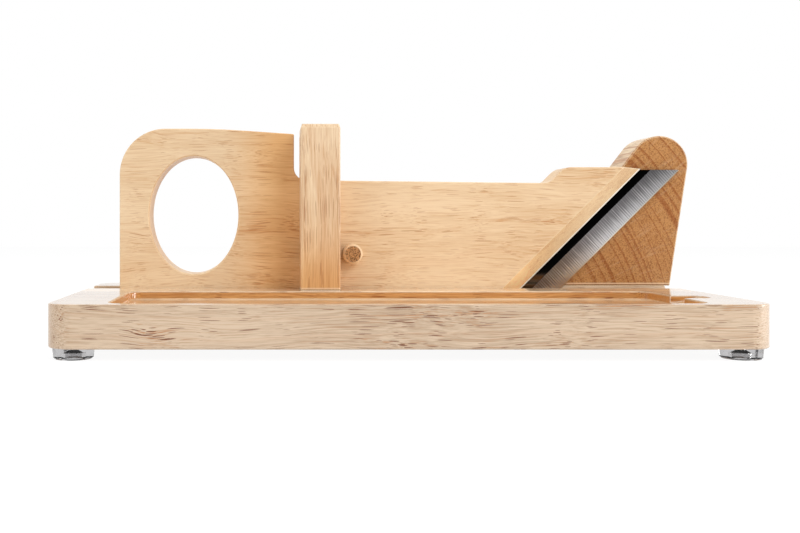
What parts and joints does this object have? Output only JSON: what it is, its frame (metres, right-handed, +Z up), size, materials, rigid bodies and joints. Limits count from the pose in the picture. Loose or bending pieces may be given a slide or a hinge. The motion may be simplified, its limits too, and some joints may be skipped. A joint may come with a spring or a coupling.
{
  "type": "sausage guillotine slicer",
  "caption": "Wooden guillotine for slicing cured sausage: an arm with a hand hole and a slanted steel blade slides along a board past a sloping end block, beside a sunk slice tray.",
  "frame": {"origin": "centre of the bounding box's bottom, on the surface that the feet stand on", "axes": "+X right along the board towards the end block, +Y from the slice tray's edge to the back, +Z up"},
  "size_m": [0.3957, 0.18, 0.1327],
  "materials": {
    "board_wood": "oiled rubberwood, fine sanded",
    "arm_wood": "oiled rubberwood, fine sanded",
    "post_wood": "oiled rubberwood, fine sanded",
    "block_wood": "oiled rubberwood, end grain to the front",
    "pin_wood": "turned hardwood dowel",
    "dowel_wood": "beech dowel, glued in",
    "blade_steel": "mirror flat with a ground bevel",
    "screw_steel": "plain steel",
    "foot_rubber": "grey translucent"
  },
  "bodies": {
    "base": {"base_board": "board_wood", "front_post": "post_wood", "rear_post": "post_wood", "end_block": "block_wood", "front_post_screw": "screw_steel", "rear_post_screw": "screw_steel", "block_screws": "screw_steel", "front_post_dowels": "dowel_wood", "rear_post_dowels": "dowel_wood", "block_dowels": "dowel_wood", "foot_front_left": "foot_rubber", "foot_front_right": "foot_rubber", "foot_rear_left": "foot_rubber", "foot_rear_right": "foot_rubber", "foot_screw_front_left": "screw_steel", "foot_screw_front_right": "screw_steel", "foot_screw_rear_left": "screw_steel", "foot_screw_rear_right": "screw_steel"},
    "arm": {"slicer_arm": "arm_wood", "blade": "blade_steel", "blade_screws": "screw_steel"},
    "pin": {"keeper_pin": "pin_wood"}
  },
  "joints": [
    {"name": "arm_slide", "type": "slide", "parent": "base", "child": "arm", "axis": [-1, 0, 0], "range_m": [0, 0.095]},
    {"name": "pin_pull", "type": "slide", "parent": "arm", "child": "pin", "axis": [0, -1, 0], "range_m": [0, 0.04]}
  ]
}
